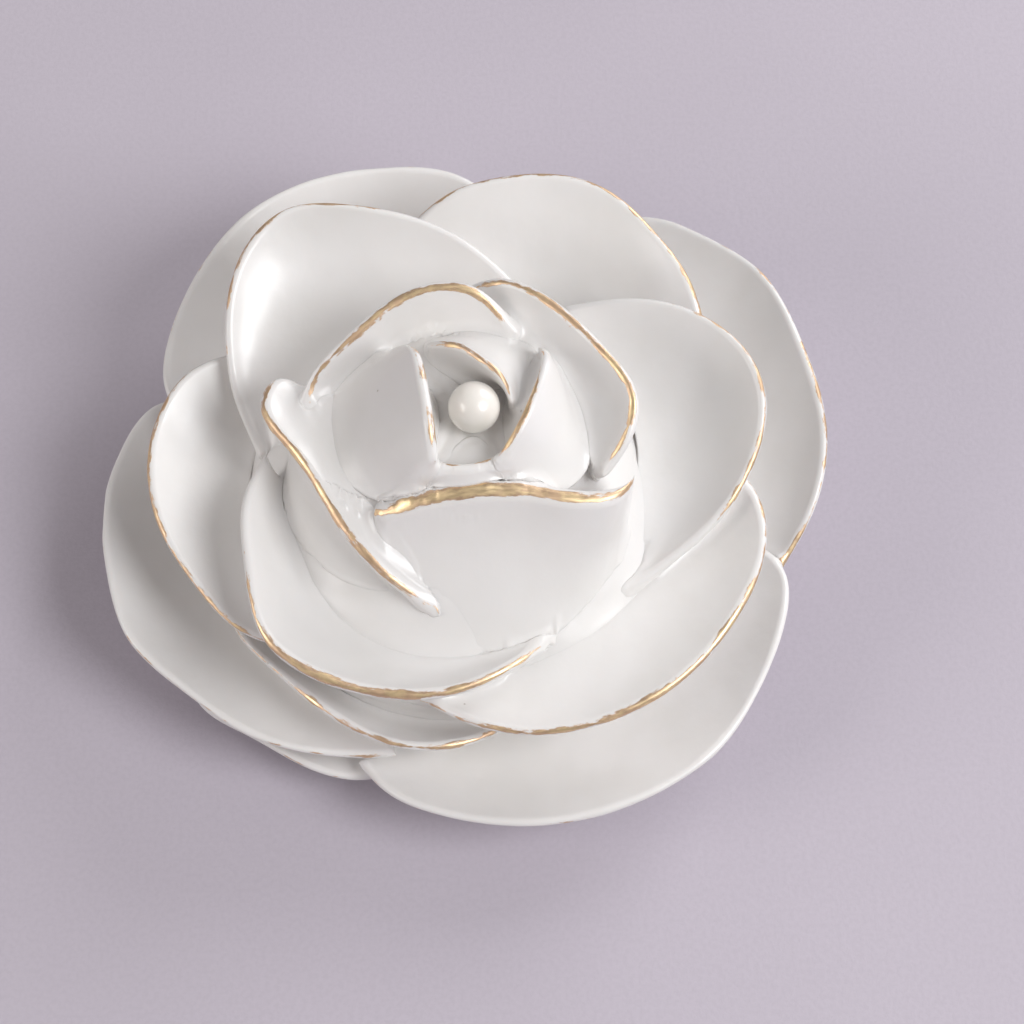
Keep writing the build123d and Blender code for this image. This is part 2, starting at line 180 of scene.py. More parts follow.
BASE_PETALS = {
    "base_petal_front_left_inner": dict(
        rim=[(205, 36, 14.5), (215, 38, 16), (227, 38, 16.5), (242, 38.9, 17), (255, 39.9, 17),
             (264, 39.5, 17), (273, 37.6, 16), (280, 35, 14.5)],
        root=[(215, 31.5, 10), (242, 32, 9.5), (270, 31.5, 10)],
        rise=5, lift=45, thick=(3, 1.3), heel=(30, 5),
        gilt=[(0, 0.3), (0.5, 0.5), (1, 0.5)], shift=0.1),
    "base_petal_right": dict(
        rim=[(68, 45, 15), (60, 49.4, 18), (49, 51.2, 20), (37, 52.6, 21), (23, 51.4, 20.5),
             (8, 50.7, 18.5), (357, 48.5, 15.5), (347, 44.9, 11)],
        root=[(62, 31.5, 10), (28, 31.5, 9), (352, 31, 8)],
        rise=5, lift=45, thick=(3, 1.3), heel=(27.5, 2.2),
        gilt=[(0, -0.3), (0.3, 0.15), (0.6, 0.5), (0.9, 0.45), (1, 0.6)], shift=0.1),
    "base_petal_back_left": dict(
        rim=[(165, 41, 14), (160, 45.5, 16), (152, 48.2, 18), (140, 50.3, 20.5), (126, 51.9, 22.5),
             (113, 51, 23), (102, 49.6, 22.5), (93, 48.2, 21.5), (85, 45.5, 19)],
        root=[(158, 31.5, 10), (125, 31.5, 9), (92, 31.5, 10)],
        rise=5, lift=45, thick=(3, 1.3), heel=(27.5, 2.2),
        gilt=[(0, 0.1), (0.4, 0.1), (0.7, -0.2), (1, 0.1)], shift=0.0),
    "base_petal_back": dict(
        rim=[(102, 40, 14), (92, 44, 17), (80, 46, 18.5), (68, 45, 17.5), (58, 41, 15)],
        root=[(98, 31, 8.5), (80, 31, 8), (62, 31, 8.5)],
        rise=5, lift=40, thick=(3, 1.3), heel=(28, 3.5),
        gilt=[(0, 0.1), (0.5, 0.3), (1, 0.1)], shift=0.0),
    "base_petal_front": dict(
        rim=[(350, 41, 12), (345, 45.5, 13), (338, 47.4, 14), (326, 49.2, 14.5), (311, 51.2, 14),
             (298, 50.9, 13), (282, 49.3, 12), (267, 46.7, 11), (257, 44.3, 10), (249, 40.5, 8)],
        root=[(342, 30.5, 7), (298, 30, 5.5), (255, 30, 5.5)],
        rise=5, lift=30, thick=(3, 1.3), heel=(26.5, 1.5),
        gilt=[(0, -0.2), (0.3, -0.1), (0.55, 0.1), (0.8, 0.25), (1, 0.3)], shift=-0.2),
    "base_petal_under_left": dict(
        rim=[(208, 44, 5), (217, 46.5, 6), (229, 44.5, 6), (240, 43.5, 6), (250, 42, 6), (258, 38, 5)],
        root=[(212, 28, 3.5), (233, 28, 3.2), (255, 28, 3.5)],
        rise=0, lift=20, thick=(3, 1.3), heel=(26, 1),
        gilt=[(0, -0.2), (0.6, 0.05), (1, 0.3)], shift=0.0),
    "base_petal_left": dict(
        rim=[(158, 41, 12), (161, 45.7, 13), (172, 49.2, 14.5), (184, 50.8, 15), (196, 51.2, 15),
             (205, 51.3, 14), (216, 48.5, 12.5), (230, 45.8, 11.5), (242, 42.7, 11), (256, 39, 10.8)],
        root=[(165, 30.5, 7), (205, 30.5, 6.5), (246, 30.5, 7.5)],
        rise=5, lift=30, thick=(3, 1.3), heel=(27, 1.8),
        gilt=[(0, -0.2), (0.3, 0.0), (0.5, 0.2), (1, 0.25)], shift=0.0),
}
HANDLE = 0.38               # length of a section's curve handles, as a share of its chord
HEEL_FULLNESS = 0.7         # how soon a heel reaches its full depth from a petal's ends
STEPS_ALONG = 120           # mesh steps from one end of a petal to the other
STEPS_UPPER = 28            # mesh steps across the upper face, and across the underside
STEPS_EDGE = 4              # mesh steps round the rim
END_ROUND = 1.5             # length over which a petal's ends are rounded off
EVEN_STEPS = 0.6            # how evenly the steps along a petal are spread; the rest crowd to its ends
CROWD_TO_RIM = 1.3          # above 1, the steps across a petal crowd towards its rim
SWELL_SIZE = 0.011          # metres from one hand-formed swell to the next

# ------------------------------------------------------------------ bowl and dome, millimetres
# outlines: (distance from the axis, height) down one side, turned round the axis
BOWL_OUTSIDE = [(26.5, 0), (29.5, 4), (32.5, 9), (34, 17)]
BOWL_INSIDE = [(31, 17), (29.8, 10), (25.5, 5.8), (18, 4.2)]
BOWL_UNDERSIDE = [(0, 1.4), (22.5, 1.4), (23.5, 0)]
DOME_OUTSIDE = [(34, 17.2), (26, 25), (18.5, 32), (12.5, 38.3), (6, 40.2)]
DOME_INSIDE = [(4, 36.6), (11.5, 32.5), (21, 23), (27.9, 16.2)]
DOME_FLANGE = [(27.9, 13.8), (30.5, 13.8), (30.5, 17.2)]
TURNED_STEPS = 128
PEARL_CENTRE = Vector((1.3, -1.8, 43.5)) * MM
PEARL_RADIUS = 3.46 * MM
PEARL_FLAT = 3.3 * MM       # depth of the drilled flat below the pearl's centre

# ------------------------------------------------------------------ camera, degrees and metres
CAMERA_SLOPE = 64
CAMERA_TARGET = Vector((0.0063, -0.0033, 0.015))
CAMERA_REACH = 0.4


# ================================================================== curves
def at_bearing(bearing, radius, height):
    """Place in metres at a bearing about the axis (0 is +X, 90 is +Y)."""
    turn = math.radians(bearing)
    return Vector((radius * math.cos(turn), radius * math.sin(turn), height)) * MM


def blend_table(table, share):
    """Value at a share of the way along a table of (share, value)."""
    for (a, low), (b, high) in zip(table, table[1:]):
        if share <= b:
            return low + (high - low) * (share - a) / (b - a)
    return table[-1][1]


class SmoothLine:
    """Natural cubic curve through places, read by the share of its length."""

    STEPS = 24

    def __init__(self, places):
        self.places = places
        self.knots = [0.0]
        for a, b in zip(places, places[1:]):
            self.knots.append(self.knots[-1] + (b - a).length)
        self.bends = self._bends()
        self.samples = [self._at_knot(i, step / self.STEPS)
                        for i in range(len(places) - 1) for step in range(self.STEPS)]
        self.samples.append(places[-1].copy())
        self.lengths = [0.0]
        for a, b in zip(self.samples, self.samples[1:]):
            self.lengths.append(self.lengths[-1] + (b - a).length)
        self.length = self.lengths[-1]

    def _bends(self):
        """Second derivatives at the knots, nought at both ends."""
        count = len(self.places)
        gaps = [b - a for a, b in zip(self.knots, self.knots[1:])]
        slopes = [(b - a) / gap for a, b, gap in zip(self.places, self.places[1:], gaps)]
        bends = [Vector((0, 0, 0)) for _ in self.places]
        pivots, rights = [1.0] * count, [Vector((0, 0, 0)) for _ in self.places]
        for i in range(1, count - 1):
            pivots[i] = 2 * (gaps[i - 1] + gaps[i])
            rights[i] = 6 * (slopes[i] - slopes[i - 1])
            if i > 1:
                share = gaps[i - 1] / pivots[i - 1]
                pivots[i] -= share * gaps[i - 1]
                rights[i] = rights[i] - share * rights[i - 1]
        for i in range(count - 2, 0, -1):
            after = gaps[i] * bends[i + 1] if i < count - 2 else Vector((0, 0, 0))
            bends[i] = (rights[i] - after) / pivots[i]
        return bends

    def _at_knot(self, i, u):
        gap = self.knots[i + 1] - self.knots[i]
        a, b = 1 - u, u
        return (a * self.places[i] + b * self.places[i + 1]
                + ((a ** 3 - a) * self.bends[i] + (b ** 3 - b) * self.bends[i + 1]) * gap * gap / 6)

    def at(self, share):
        target = share * self.length
        low, high = 0, len(self.lengths) - 1
        while high - low > 1:
            middle = (low + high) // 2
            low, high = (middle, high) if self.lengths[middle] <= target else (low, middle)
        gap = self.lengths[high] - self.lengths[low]
        return self.samples[low].lerp(self.samples[high], (target - self.lengths[low]) / gap)


def curve_point(handles, share):
    """Place on a cubic curve given by its two ends and two handles."""
    start, first, second, end = handles
    rest = 1 - share
    return (rest ** 3 * start + 3 * rest * rest * share * first
            + 3 * rest * share * share * second + share ** 3 * end)


# ================================================================== one petal
class PetalSection:
    """Outline of a petal in the upright plane through one place on its root and one on its rim."""

    def __init__(self, shape, root, rim, share):
        out = Vector((rim.x - root.x, rim.y - root.y, 0)).normalized()
        up = Vector((0, 0, 1))
        root_half, self.edge = (value * MM / 2 for value in shape["thick"])
        rise, lift = math.radians(shape["rise"]), math.radians(shape["lift"])
        self.rim = rim
        self.along = out * math.cos(lift) + up * math.sin(lift)
        self.across = up * math.cos(lift) - out * math.sin(lift)
        leaving = out * math.cos(rise) + up * math.sin(rise)
        side = (up * math.cos(rise) - out * math.sin(rise)) * root_half
        reach = HANDLE * (rim - root).length
        root_handle, rim_handle = root + leaving * reach, rim - self.along * reach
        foot, foot_handle = root - side, root_handle - side
        if "heel" in shape:
            radius, height = (value * MM for value in shape["heel"])
            full = root + out * (radius - math.hypot(root.x, root.y)) + up * (height - root.z)
            foot = foot.lerp(full, max(0.0, math.sin(math.pi * share)) ** HEEL_FULLNESS)
            foot_handle = foot + leaving * (HANDLE * (rim - foot).length)
        rim_under = rim_handle
        if "inside" in shape:
            radius, height = (value * MM for value in shape["inside"])
            full = root + out * (math.hypot(root.x, root.y) - radius) + up * (height - root.z)
            foot = foot.lerp(full, max(0.0, math.sin(math.pi * share)) ** HEEL_FULLNESS)
            fall = up * (HANDLE * (rim - foot).length)
            foot_handle, rim_under = foot + fall, rim - fall
        half = self.across * self.edge
        self.upper = (root + side, root_handle + side, rim_handle + half, rim + half)
        self.under = (foot, foot_handle, rim_under - half, rim - half)

    def ring(self, closing):
        """Places round the outline from root over the rim to foot, drawn together by closing."""
        places = []
        shares = [1 - (1 - step / STEPS_UPPER) ** CROWD_TO_RIM for step in range(STEPS_UPPER + 1)]
        for share in shares:
            top, bottom = curve_point(self.upper, share), curve_point(self.under, share)
            places.append(top.lerp((top + bottom) / 2, 1 - closing))
        for step in range(1, STEPS_EDGE):
            turn = math.pi * (0.5 - step / STEPS_EDGE)
            spine = self.rim + self.along * (math.cos(turn) * self.edge)
            places.append(spine + self.across * (math.sin(turn) * self.edge * closing))
        for share in reversed(shares):
            top, bottom = curve_point(self.upper, share), curve_point(self.under, share)
            places.append(bottom.lerp((top + bottom) / 2, 1 - closing))
        return places


def deselect_all():
    bpy.ops.object.select_all(action="DESELECT")


def only(piece):
    """Makes piece the one selected and active object."""
    deselect_all()
    piece.select_set(True)
    bpy.context.view_layer.objects.active = piece


def close_and_face_out(distance=1e-6):
    """Welds what lies together on the active mesh and turns its faces outwards."""
    bpy.ops.object.mode_set(mode="EDIT")
    bpy.ops.mesh.select_all(action="SELECT")
    bpy.ops.mesh.remove_doubles(threshold=distance)
    bpy.ops.mesh.normals_make_consistent(inside=False)
    bpy.ops.object.mode_set(mode="OBJECT")


def apply_modifier(piece, kind, **settings):
    """Adds a modifier with its settings and applies it at once."""
    only(piece)
    modifier = piece.modifiers.new(kind.title(), kind)
    for key, value in settings.items():
        setattr(modifier, key, value)
    bpy.ops.object.modifier_apply(modifier=modifier.name)


def make_petal(name, shape):
    """A sheet of mesh, shaped section by section into one closed petal."""
    rim = SmoothLine([at_bearing(*place) for place in shape["rim"]])
    root = SmoothLine([at_bearing(*place) for place in shape["root"]])
    across = 2 * STEPS_UPPER + STEPS_EDGE + 1
    deselect_all()
    bpy.ops.mesh.primitive_grid_add(x_subdivisions=STEPS_ALONG, y_subdivisions=across, size=1)
    petal = bpy.context.object
    petal.name = petal.data.name = name + "_glazed"
    mesh = petal.data
    gilding = mesh.attributes.new("gilding", "FLOAT", "POINT")
    along_rim = mesh.attributes.new("along_rim", "FLOAT_VECTOR", "POINT")
    nose = STEPS_UPPER + STEPS_EDGE // 2
    columns = {}
    for vertex in mesh.vertices:
        column = round((vertex.co.x + 0.5) * STEPS_ALONG)
        columns.setdefault(column, {})[round((vertex.co.y + 0.5) * across)] = vertex
    for column, vertices in columns.items():
        even = column / STEPS_ALONG
        share = EVEN_STEPS * even + (1 - EVEN_STEPS) * (0.5 - 0.5 * math.cos(math.pi * even))
        section = PetalSection(shape, root.at(share), rim.at(share), share)
        end_gap = min(share, 1 - share) * rim.length / (END_ROUND * MM)
        closing = math.sqrt(max(0.0, 1 - (1 - min(1.0, end_gap)) ** 2))
        places = section.ring(closing)
        places.append(places[0])
        from_nose = [0.0] * len(places)
        for row in range(nose + 1, len(places)):
            from_nose[row] = from_nose[row - 1] - (places[row] - places[row - 1]).length
        for row in range(nose - 1, -1, -1):
            from_nose[row] = from_nose[row + 1] + (places[row] - places[row + 1]).length
        band = blend_table(shape["gilt"], share)
        for row, vertex in vertices.items():
            vertex.co = places[row]
            off_line = abs(from_nose[row] / MM - shape["shift"])
            gilding.data[vertex.index].value = band - abs(off_line - shape.get("split", 0.0))
            along_rim.data[vertex.index].vector = (share * rim.length, from_nose[row], 0)
    only(petal)
    close_and_face_out()
    return petal


def hand_form(piece, depth, scale, seed):
    """Gives the active piece the slight unevenness of a shape pressed by hand."""
    shift = Vector((seed * 7.3, seed * 3.1, seed * 5.7))
    outwards = [vertex.normal.copy() for vertex in piece.data.vertices]
    for vertex, out in zip(piece.data.vertices, outwards):
        broad = noise.noise(vertex.co / scale + shift)
        fine = noise.noise(vertex.co * 2.7 / scale + shift)
        swell = broad + 0.4 * fine
        vertex.co += out * (depth * swell)
    piece.data.update()


# ================================================================== turned bowl and dome
def turned_outline(stretches):
    """Places in the X-Z plane down the joined stretches, each smooth or straight."""
    places = []
    for smooth, stretch in stretches:
        corners = [Vector((radius, 0, height)) * MM for radius, height in stretch]
        if smooth:
            line = SmoothLine(corners)
            corners = [line.at(step / 24) for step in range(25)]
        for place in corners:
            if not places or (place - places[-1]).length > 1e-5:
                places.append(place)
    return places


def turn_piece(name, outline, bevel):
    """A ring of edges laid along the outline and spun round the upright axis."""
    deselect_all()
    bpy.ops.mesh.primitive_circle_add(vertices=len(outline), radius=0.01, fill_type="NOTHING")
    piece = bpy.context.object
    piece.name = piece.data.name = name
    for vertex, place in zip(piece.data.vertices, outline):
        vertex.co = place
    bpy.ops.object.mode_set(mode="EDIT")
    bpy.ops.mesh.select_all(action="DESELECT")
    shell = bmesh.from_edit_mesh(piece.data)
    for edge in shell.edges:
        edge.select_set(all(vertex.co.x < 1e-6 for vertex in edge.verts))
    bmesh.update_edit_mesh(piece.data)
    bpy.ops.mesh.delete(type="EDGE")
    bpy.ops.mesh.select_all(action="SELECT")
    bpy.ops.mesh.spin(steps=TURNED_STEPS, angle=2 * math.pi, center=(0, 0, 0), axis=(0, 0, 1))
    bpy.ops.object.mode_set(mode="OBJECT")
    close_and_face_out(2e-6)
    apply_modifier(piece, "BEVEL", width=bevel, segments=3, limit_method="ANGLE",
                   angle_limit=math.radians(40))
    only(piece)
    bpy.ops.object.shade_smooth()
    return piece


# ================================================================== joining with slip
WEAKEST_PULL = 0.25         # two skins that pull less than this against each other are left alone
FILLET_PASSES = 3           # times a place is drawn towards the fillet
LONGEST_STEP = 0.5          # farthest that a place moves, as a share of the fillet's width


class Surface:
    """A piece's own skin, asked how far a place stands off it."""

    def __init__(self, piece):
        mesh = piece.data
        self.tree = BVHTree.FromPolygons([v.co for v in mesh.vertices],
                                         [p.vertices[:] for p in mesh.polygons])
        self.box = piece_box(piece)

    def reaches(self, place, reach):
        """Whether a place is near enough to this piece's box to be worth asking."""
        return all(low - reach < value < high + reach for value, (low, high) in zip(place, self.box))

    def gap(self, place, reach):
        hit, normal, _, distance = self.tree.find_nearest(place, reach)
        if hit is None:
            return reach, normal
        away = place - hit
        if distance < 1e-8:
            return 0.0, normal
        side = 1.0 if away.dot(normal) >= 0 else -1.0
        return side * distance, away * (side / distance)


def nearest_gap(surfaces, place, reach):
    """Least distance from a place to any of the surfaces, and the way straight off that one."""
    best, slope = reach, None
    for surface in surfaces:
        gap, direction = surface.gap(place, reach)
        if gap < best:
            best, slope = gap, direction
    return best, slope


def lute_together(pieces, softness):
    """Fills the creases between pieces of one body with a soft fillet, as slip and glaze do."""
    skins = [Surface(piece) for piece in pieces]
    for piece, skin in zip(pieces, skins):
        others = [other for other in skins
                  if other is not skin and boxes_meet(skin.box, other.box, softness)]
        soft = piece.vertex_groups.new(name="luted")
        moved = []
        for vertex in piece.data.vertices:
            start = vertex.co.copy()
            near = [other for other in others if other.reaches(start, softness)]
            gap, slope = nearest_gap(near, start, softness)
            sunk = 1.0 - (min(gap, 0.0) / softness) ** 2
            if slope is None or sunk <= 0:
                moved.append(start)
                continue
            facing = min(1.0, 2 * (1 - vertex.normal.dot(slope)))
            soft.add([vertex.index], min(1.0, sunk) * facing, "REPLACE")
            place = start.copy()
            if gap < 0:
                pull = (vertex.normal + slope) / 2
                if pull.length > WEAKEST_PULL:
                    place += pull * (sunk * softness / 4 / pull.length_squared)
            for _ in range(FILLET_PASSES if gap >= 0 else 0):
                own, own_slope = skin.gap(place, 2 * softness)
                gap, slope = nearest_gap(near, place, softness)
                if slope is None or own_slope is None:
                    break
                gap = max(gap, 0.0)
                mixed = max(softness - abs(own - gap), 0.0) / softness
                depth = min(own, gap) - mixed * mixed * softness / 4
                weight = mixed / 2 if own < gap else 1 - mixed / 2
                pull = own_slope * (1 - weight) + slope * weight
                if pull.length < WEAKEST_PULL:
                    break
                place -= pull * (depth / pull.length_squared)
            step = (place - start) * facing
            if step.length > softness * LONGEST_STEP:
                step *= softness * LONGEST_STEP / step.length
            moved.append(start + step)
        for vertex, place in zip(piece.data.vertices, moved):
            vertex.co = place
        apply_modifier(piece, "SMOOTH", factor=0.5, iterations=2, vertex_group="luted")
        piece.vertex_groups.clear()


def keep_in_box(piece):
    """Draws in what stands outside the box the part was drawn in."""
    low, high = CAD_BOX
    for vertex in piece.data.vertices:
        vertex.co = [min(max(value, a), b) for value, a, b in zip(vertex.co, low, high)]


def piece_box(piece):
    """Lowest and highest value of a piece's mesh on each axis."""
    places = [vertex.co for vertex in piece.data.vertices]
    return [(min(place[axis] for place in places), max(place[axis] for place in places))
            for axis in range(3)]


def boxes_meet(box, other, margin):
    """Whether two boxes come within a margin of each other."""
    return all(low - margin <= other_high and other_low - margin <= high
               for (low, high), (other_low, other_high) in zip(box, other))


# ================================================================== finishes
class Wiring:
    """Adds nodes to a tree and joins them up."""

    def __init__(self, tree):
        self.tree = tree

    def add(self, kind, settings=None, **inputs):
        node = self.tree.nodes.new(kind)
        for key, value in (settings or {}).items():
            setattr(node, key, value)
        for key, value in inputs.items():
            self.feed(node, key.replace("_", " "), value)
        return node

    def feed(self, node, socket, value):
        target = node.inputs[int(socket[1:])] if socket[1:].isdigit() else node.inputs[socket]
        if isinstance(value, bpy.types.NodeSocket):
            self.tree.links.new(value, target)
        else:
            target.default_value = value

    def sum(self, operation, *values, clamp=False):
        node = self.add("ShaderNodeMath", {"operation": operation, "use_clamp": clamp})
        for index, value in enumerate(values):
            self.feed(node, "i%d" % index, value)
        return node.outputs[0]

    def speckle(self, place, scale, detail=2.0, rough=0.5):
        node = self.add("ShaderNodeTexNoise", Vector=place, Scale=scale, Detail=detail, Roughness=rough)
        return node.outputs["Fac"]

    def between(self, value, low, high, start=0.0, end=1.0, smooth=True):
        kind = "SMOOTHSTEP" if smooth else "LINEAR"
        node = self.add("ShaderNodeMapRange", {"interpolation_type": kind, "clamp": True})
        for index, number in enumerate((value, low, high, start, end)):
            self.feed(node, "i%d" % index, number)
        return node.outputs["Result"]

    def mix(self, share, first, second):
        node = self.add("ShaderNodeMix", {"data_type": "RGBA"})
        self.feed(node, "i0", share)
        self.feed(node, "i6", first)
        self.feed(node, "i7", second)
        return node.outputs[2]

    def place_group(self, name, **inputs):
        node = self.add("ShaderNodeGroup", {"node_tree": bpy.data.node_groups[name]})
        for key, value in inputs.items():
            self.feed(node, key.replace("_", " "), value)
        return node


SOCKETS = {"value": "NodeSocketFloat", "colour": "NodeSocketColor", "vector": "NodeSocketVector"}


def start_group(name, inputs, outputs):
    """A new node group with named sockets, given as (name, kind)."""
    group = bpy.data.node_groups.new(name, "ShaderNodeTree")
    for way, sockets in (("INPUT", inputs), ("OUTPUT", outputs)):
        for label, kind in sockets:
            group.interface.new_socket(name=label, in_out=way, socket_type=SOCKETS[kind])
    wiring = Wiring(group)
    return wiring, wiring.add("NodeGroupInput").outputs, wiring.add("NodeGroupOutput")


def build_glaze_group():
    """Milky glaze: soft clouding, pinholes and iron specks, and the slight wave of the fired surface."""
    w, given, out = start_group(
        "milky_glaze",
        [("Place", "vector"), ("Body Colour", "colour"), ("Cloud Colour", "colour"),
         ("Speck Colour", "colour")],
        [("Colour", "colour"), ("Roughness", "value"), ("Height", "value")])
    place = given["Place"]
    cloud = w.between(w.speckle(place, 90.0, 3.0), 0.35, 0.75)
    colour = w.mix(w.sum("MULTIPLY", cloud, 0.7), given["Body Colour"], given["Cloud Colour"])
    cells = w.add("ShaderNodeTexVoronoi", Vector=place, Scale=260.0, Randomness=1.0)
    chance = w.add("ShaderNodeSeparateColor", Color=cells.outputs["Color"]).outputs[0]
    rare = w.between(chance, 0.93, 0.96)
    speck = w.sum("MULTIPLY", w.between(cells.outputs["Distance"], 0.06, 0.03), rare)
    colour = w.mix(w.sum("MULTIPLY", speck, 0.55), colour, given["Speck Colour"])
    ripple = w.speckle(place, 170.0, 2.0)
    grain = w.speckle(place, 1500.0, 2.0)
    rough = w.sum("ADD", w.between(w.speckle(place, 240.0, 3.0), 0.3, 0.7, 0.30, 0.42),
                  w.sum("MULTIPLY", grain, 0.05))
    w.feed(out, "Colour", colour)
    w.feed(out, "Roughness", rough)
    height = w.sum("ADD", w.sum("MULTIPLY", ripple, 0.8), w.sum("MULTIPLY", grain, 0.05))
    w.feed(out, "Height", w.sum("SUBTRACT", height, w.sum("MULTIPLY", speck, 0.3)))


def build_gilding_group():
    """Liquid gold brushed along an edge: a broken outline, brown where it is thin, and brush streaks."""
    w, given, out = start_group(
        "brushed_gilding",
        [("Place", "vector"), ("Band", "value"), ("Along", "vector"), ("Gold", "colour"),
         ("Worn", "colour")],
        [("Mask", "value"), ("Colour", "colour"), ("Roughness", "value"), ("Height", "value")])
    place = given["Place"]
    stretch = w.add("ShaderNodeVectorMath", {"operation": "MULTIPLY"})
    w.feed(stretch, "i0", given["Along"])
    w.feed(stretch, "i1", (0.25, 1.0, 1.0))
    streaks = w.speckle(stretch.outputs[0], 2600.0, 3.0, 0.6)
    edge = w.sum("SUBTRACT", w.speckle(stretch.outputs[0], 1500.0, 5.0, 0.7), 0.56)
    breaks = w.sum("SUBTRACT", w.speckle(place, 210.0, 3.0), 0.56)
    reach = w.sum("ADD", given["Band"], w.sum("MULTIPLY", edge, 1.5))
    reach = w.sum("ADD", reach, w.sum("MULTIPLY", breaks, 1.3))
    mask = w.between(reach, -0.05, 0.12)
    thin = w.between(w.sum("ADD", reach, w.sum("MULTIPLY", streaks, 0.9)), 0.5, 0.95, 1.0, 0.0)
    patch = w.between(w.speckle(place, 260.0, 4.0), 0.44, 0.62)
    worn = w.sum("MAXIMUM", w.sum("MULTIPLY", thin, 0.9), w.sum("MULTIPLY", patch, 0.75))
    w.feed(out, "Mask", mask)
    w.feed(out, "Colour", w.mix(worn, given["Gold"], given["Worn"]))
    w.feed(out, "Roughness", w.sum("ADD", w.between(streaks, 0.3, 0.7, 0.28, 0.46),
                                   w.sum("MULTIPLY", worn, 0.12)))
    w.feed(out, "Height", w.sum("MULTIPLY", mask, w.sum("ADD", w.sum("MULTIPLY", streaks, 0.35), 0.3)))


def start_material(name):
    """A new material with its shader, and places on the piece to lay patterns by."""
    material = bpy.data.materials.new(name)
    material.use_nodes = True
    shader = material.node_tree.nodes["Principled BSDF"]
    wiring = Wiring(material.node_tree)
    place = wiring.add("ShaderNodeTexCoord").outputs["Object"]
    return material, wiring, shader, place


def bump(w, shader, height, depth):
    node = w.add("ShaderNodeBump", Height=height, Distance=depth, Strength=1.0)
    w.feed(shader, "Normal", node.outputs["Normal"])


IRON_SPECK = (0.35, 0.27, 0.22, 1)
GLAZE_DEPTH = 0.00022       # metres that the bump of glaze and gilding stands for


def colour_of(value):
    return (value[0], value[1], value[2], 1.0)


def set_glaze(shader, settings):
    shader.inputs["IOR"].default_value = 1.5
    shader.inputs["Coat Roughness"].default_value = 0.22
    shader.inputs["Coat IOR"].default_value = 1.5
    shader.inputs["Subsurface Weight"].default_value = settings.translucence
    shader.inputs["Subsurface Radius"].default_value = (0.9, 0.75, 0.65)
    shader.inputs["Subsurface Scale"].default_value = 0.0012


def petal_finish(settings):
    """Glazed porcelain with the gilded edge painted by each petal's own gilding band."""
    material, w, shader, place = start_material("gilded_porcelain")
    set_glaze(shader, settings)
    glaze = w.place_group("milky_glaze", Place=place, Body_Colour=colour_of(settings.porcelain),
                          Cloud_Colour=colour_of(settings.porcelain_cloud), Speck_Colour=IRON_SPECK)
    band = w.add("ShaderNodeAttribute", {"attribute_name": "gilding"}).outputs["Fac"]
    along = w.add("ShaderNodeAttribute", {"attribute_name": "along_rim"}).outputs["Vector"]
    gilt = w.place_group("brushed_gilding", Place=place, Band=band, Along=along,
                         Gold=colour_of(settings.gold), Worn=colour_of(settings.worn_gold))
    mask = gilt.outputs["Mask"]
    w.feed(shader, "Base Color", w.mix(mask, glaze.outputs["Colour"], gilt.outputs["Colour"]))
    w.feed(shader, "Metallic", w.sum("MULTIPLY", mask, 0.92))
    rough = w.sum("ADD", glaze.outputs["Roughness"],
                  w.sum("MULTIPLY", mask, w.sum("SUBTRACT", gilt.outputs["Roughness"],
                                                glaze.outputs["Roughness"])))
    w.feed(shader, "Roughness", rough)
    w.feed(shader, "Coat Weight", w.sum("MULTIPLY", w.sum("SUBTRACT", 1.0, mask), settings.glaze_coat))
    height = w.sum("ADD", glaze.outputs["Height"], w.sum("MULTIPLY", gilt.outputs["Height"], 0.25))
    bump(w, shader, height, GLAZE_DEPTH)
    return material


def vessel_finish(settings):
    """The same glaze on bowl and dome, wiped off the standing ring so that bare clay shows there."""
    material, w, shader, place = start_material("glazed_and_bare_porcelain")
    set_glaze(shader, settings)
    glaze = w.place_group("milky_glaze", Place=place, Body_Colour=colour_of(settings.porcelain),
                          Cloud_Colour=colour_of(settings.porcelain_cloud), Speck_Colour=IRON_SPECK)
    height = w.add("ShaderNodeSeparateXYZ", Vector=place).outputs["Z"]
    wander = w.sum("MULTIPLY", w.sum("SUBTRACT", w.speckle(place, 260.0, 3.0), 0.5), 0.0006)
    foot = w.between(w.sum("ADD", height, wander), 0.0006, 0.0003)
    bite = w.speckle(place, 2200.0, 4.0, 0.6)
    bare = w.mix(w.between(bite, 0.35, 0.65), (0.78, 0.75, 0.70, 1), (0.66, 0.62, 0.57, 1))
    w.feed(shader, "Base Color", w.mix(foot, glaze.outputs["Colour"], bare))
    w.feed(shader, "Roughness", w.sum("ADD", glaze.outputs["Roughness"], w.sum("MULTIPLY", foot, 0.6)))
    w.feed(shader, "Coat Weight", w.sum("MULTIPLY", w.sum("SUBTRACT", 1.0, foot), settings.glaze_coat))
    pitted = w.sum("MULTIPLY", w.sum("MULTIPLY", foot, bite), 0.4)
    bump(w, shader, w.sum("ADD", glaze.outputs["Height"], pitted), GLAZE_DEPTH)
    return material


